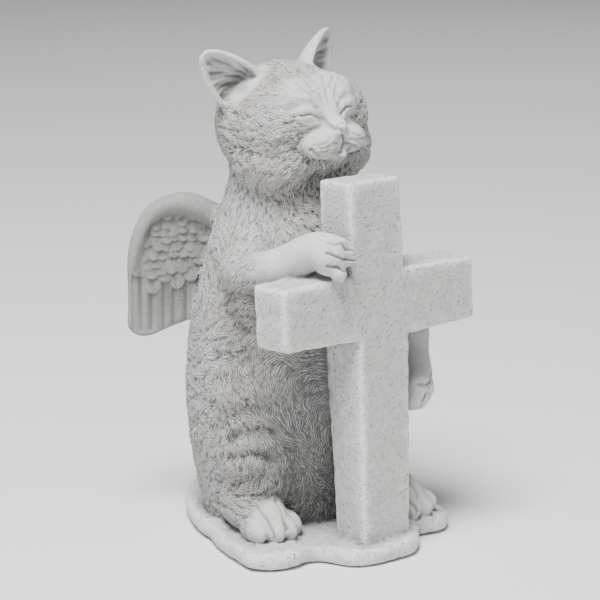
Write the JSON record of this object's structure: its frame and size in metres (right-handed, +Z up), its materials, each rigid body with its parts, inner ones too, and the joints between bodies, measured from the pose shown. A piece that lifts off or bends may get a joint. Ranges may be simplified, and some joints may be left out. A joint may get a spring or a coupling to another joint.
{
  "type": "pet memorial statue",
  "caption": "Cast-stone garden memorial: an angel cat with closed eyes stands behind a leaning Latin cross and rests its paws on it, all on one lobed slab.",
  "frame": {"origin": "on the slab's flat underside, in line with the middle of the cross and just in front of the axis of the cat's body", "axes": "+Z up; -Y towards the front, the way the cat and the cross face; +X towards the cat's left"},
  "size_m": [0.1653, 0.1986, 0.3152],
  "materials": {
    "cast_stone": "pale grey cast stone, matt, with a slightly pitted face and a darker wash in the recesses"
  },
  "bodies": {
    "root": {"angel_cat_statue": "cast_stone"}
  },
  "joints": []
}
